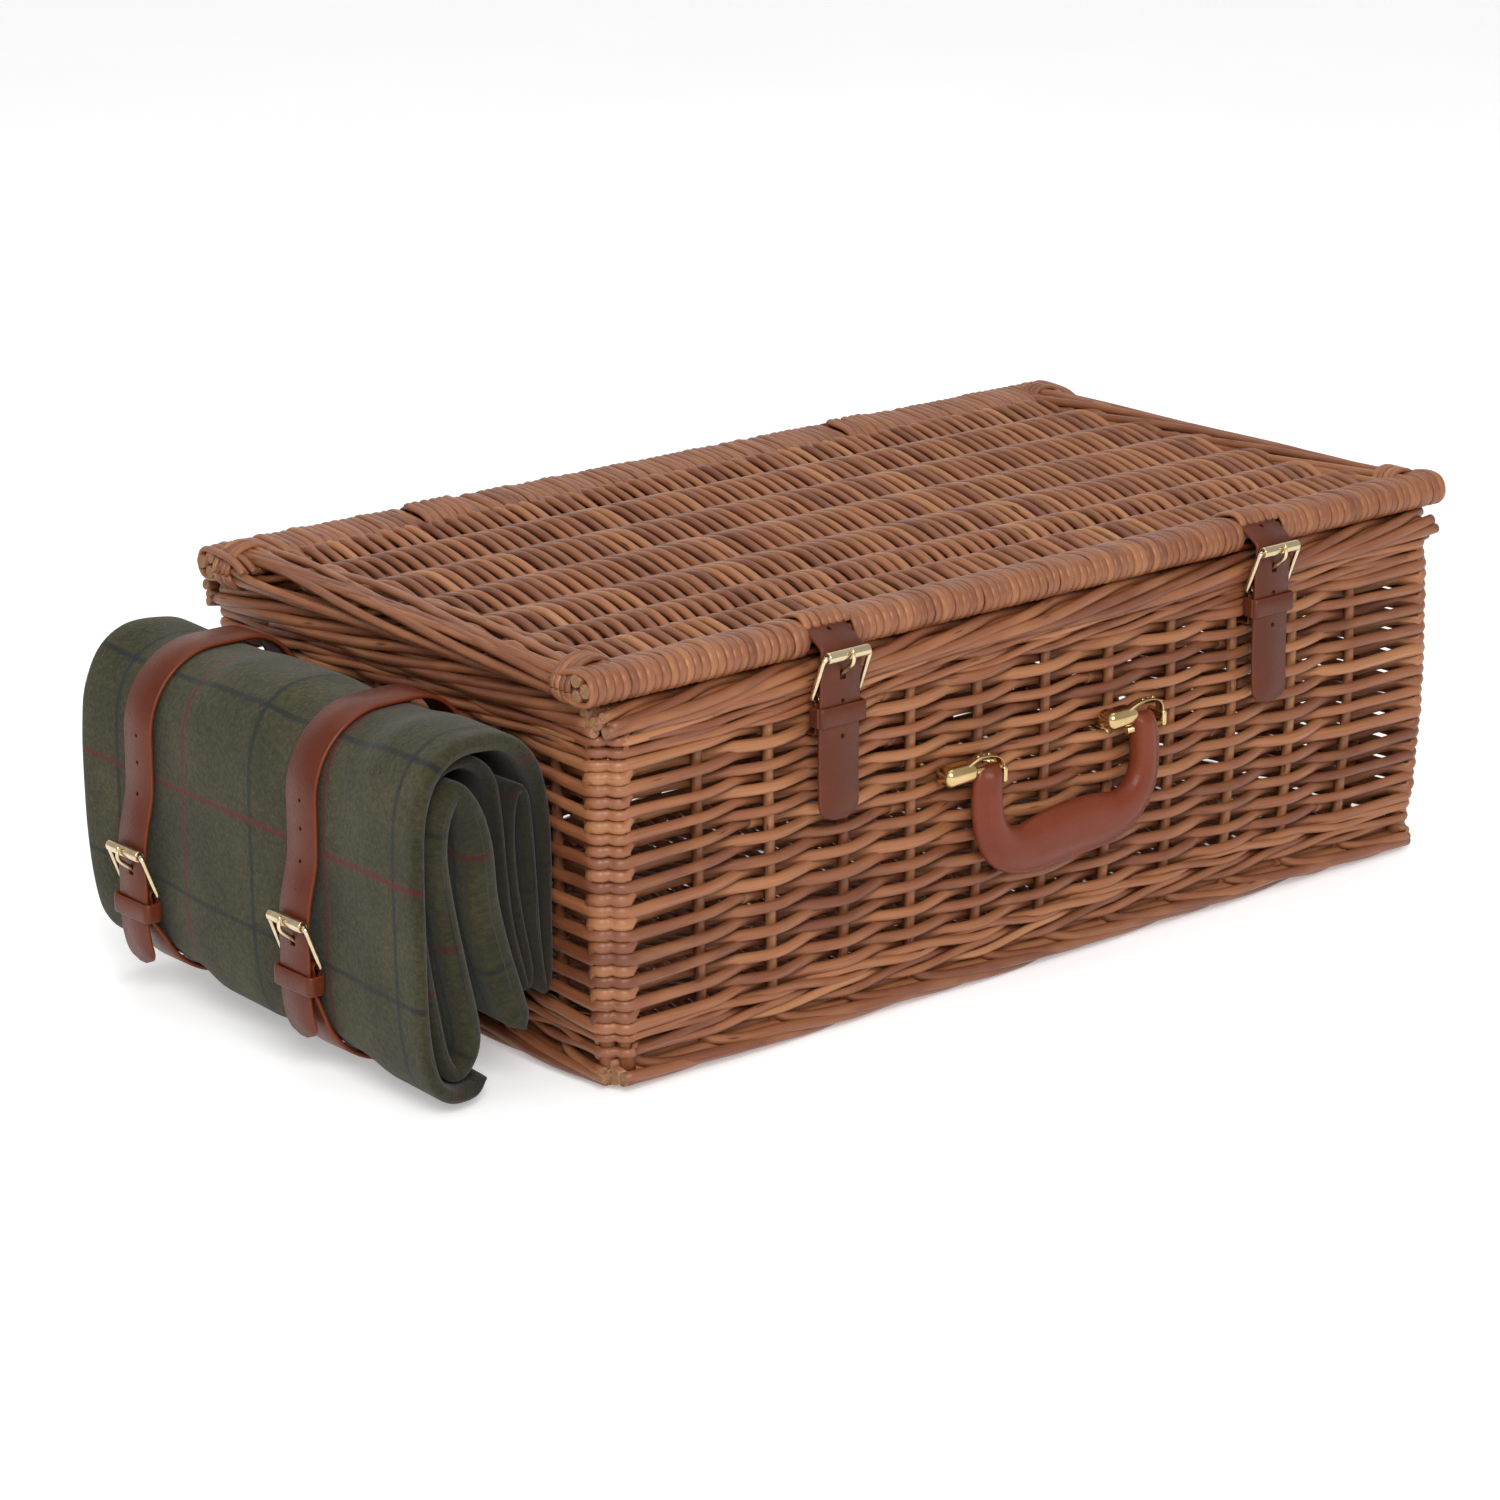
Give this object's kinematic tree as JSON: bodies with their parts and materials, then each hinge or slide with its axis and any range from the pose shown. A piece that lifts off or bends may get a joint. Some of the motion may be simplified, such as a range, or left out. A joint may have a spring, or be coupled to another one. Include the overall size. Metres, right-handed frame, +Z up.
{
  "type": "wicker picnic basket",
  "caption": "Rectangular willow picnic basket with a hinged lid, buckled leather closures, a carrying handle and a folded blanket belted to one end.",
  "frame": {"origin": "centre of the basket's underside, on the surface that it stands on", "axes": "+X along the front, away from the blanket; +Y from the front to the back; +Z up"},
  "size_m": [0.6584, 0.3241, 0.1986],
  "materials": {
    "willow": "steamed brown willow, satin varnish",
    "willow_pale": "lighter willow rods, satin varnish",
    "willow_dark": "darker willow rods, satin varnish",
    "strap_leather": "smooth brown leather, creased edges",
    "tan_leather": "smooth tan leather, semi gloss",
    "brass": "polished brass plate",
    "wool": "brushed wool twill, olive with a maroon and navy windowpane check"
  },
  "bodies": {
    "basket": {"base_panel": "willow_dark", "belt_buckle_frame_far": "brass", "belt_buckle_frame_near": "brass", "belt_keeper_far": "tan_leather", "belt_keeper_near": "tan_leather", "blanket": "wool", "blanket_belt_far": "tan_leather", "blanket_belt_near": "tan_leather", "border_back": "willow_pale", "border_front": "willow_pale", "border_left": "willow_pale", "border_right": "willow_pale", "buckle_strap_left": "strap_leather", "buckle_strap_right": "strap_leather", "closure_buckle_frame_left": "brass", "closure_buckle_frame_right": "brass", "closure_keeper_left": "strap_leather", "closure_keeper_right": "strap_leather", "corner_post_back_left": "willow_dark", "corner_post_back_right": "willow_dark", "corner_post_front_left": "willow_dark", "corner_post_front_right": "willow_dark", "foot_border_back": "willow_dark", "foot_border_front": "willow_dark", "foot_border_left": "willow_dark", "foot_border_right": "willow_dark", "handle_backing_plate_left": "brass", "handle_backing_plate_right": "brass", "handle_bracket_left": "brass", "handle_bracket_right": "brass", "handle_pin_left": "brass", "handle_pin_right": "brass", "hinge_strap_left": "strap_leather", "hinge_strap_right": "strap_leather", "wall_back": "willow", "wall_front": "willow", "wall_left": "willow", "wall_right": "willow"},
    "lid": {"lid_panel": "willow", "lid_rail_back": "willow_pale", "lid_rail_front": "willow_pale", "lid_rail_left": "willow_pale", "lid_rail_right": "willow_pale"},
    "closure_strap_left": {"closure_strap_left": "strap_leather"},
    "closure_strap_right": {"closure_strap_right": "strap_leather"},
    "handle": {"handle_grip": "tan_leather"},
    "closure_roller_left": {"closure_buckle_roller_left": "brass"},
    "closure_tongue_left": {"closure_buckle_tongue_left": "brass"},
    "closure_roller_right": {"closure_buckle_roller_right": "brass"},
    "closure_tongue_right": {"closure_buckle_tongue_right": "brass"},
    "belt_roller_near": {"belt_buckle_roller_near": "brass"},
    "belt_tongue_near": {"belt_buckle_tongue_near": "brass"},
    "belt_roller_far": {"belt_buckle_roller_far": "brass"},
    "belt_tongue_far": {"belt_buckle_tongue_far": "brass"}
  },
  "joints": [
    {"name": "lid_hinge", "type": "hinge", "parent": "basket", "child": "lid", "pos_m": [0, 0.1416, 0.189], "axis": [-1, 0, 0], "range_deg": [0, 105]},
    {"name": "closure_strap_left_hinge", "type": "hinge", "parent": "lid", "child": "closure_strap_left", "pos_m": [-0.142, -0.1416, 0.189], "axis": [-1, 0, 0], "range_deg": [-63, 0]},
    {"name": "closure_strap_right_hinge", "type": "hinge", "parent": "lid", "child": "closure_strap_right", "pos_m": [0.142, -0.1416, 0.189], "axis": [-1, 0, 0], "range_deg": [-63, 0]},
    {"name": "handle_pivot", "type": "hinge", "parent": "basket", "child": "handle", "pos_m": [0, -0.1595, 0.111], "axis": [-1, 0, 0], "range_deg": [-2, 95]},
    {"name": "closure_tongue_left_hinge", "type": "hinge", "parent": "basket", "child": "closure_tongue_left", "pos_m": [-0.142, -0.1538, 0.163], "axis": [1, 0, 0], "range_deg": [0, 60]},
    {"name": "closure_roller_left_turn", "type": "hinge", "parent": "basket", "child": "closure_roller_left", "pos_m": [-0.142, -0.1621, 0.184], "axis": [1, 0, 0], "continuous": true},
    {"name": "closure_tongue_right_hinge", "type": "hinge", "parent": "basket", "child": "closure_tongue_right", "pos_m": [0.142, -0.1538, 0.163], "axis": [1, 0, 0], "range_deg": [0, 60]},
    {"name": "closure_roller_right_turn", "type": "hinge", "parent": "basket", "child": "closure_roller_right", "pos_m": [0.142, -0.1621, 0.184], "axis": [1, 0, 0], "continuous": true},
    {"name": "belt_tongue_near_hinge", "type": "hinge", "parent": "basket", "child": "belt_tongue_near", "pos_m": [-0.3592, -0.043, 0.057], "axis": [0, -1, 0], "range_deg": [0, 60]},
    {"name": "belt_roller_near_turn", "type": "hinge", "parent": "basket", "child": "belt_roller_near", "pos_m": [-0.3675, -0.043, 0.078], "axis": [0, 1, 0], "continuous": true},
    {"name": "belt_tongue_far_hinge", "type": "hinge", "parent": "basket", "child": "belt_tongue_far", "pos_m": [-0.3592, 0.086, 0.057], "axis": [0, -1, 0], "range_deg": [0, 60]},
    {"name": "belt_roller_far_turn", "type": "hinge", "parent": "basket", "child": "belt_roller_far", "pos_m": [-0.3675, 0.086, 0.078], "axis": [0, 1, 0], "continuous": true}
  ],
  "couplings": [
    {"joint": "closure_strap_left_hinge", "follows": "lid_hinge", "ratio": -0.6},
    {"joint": "closure_strap_right_hinge", "follows": "lid_hinge", "ratio": -0.6}
  ]
}
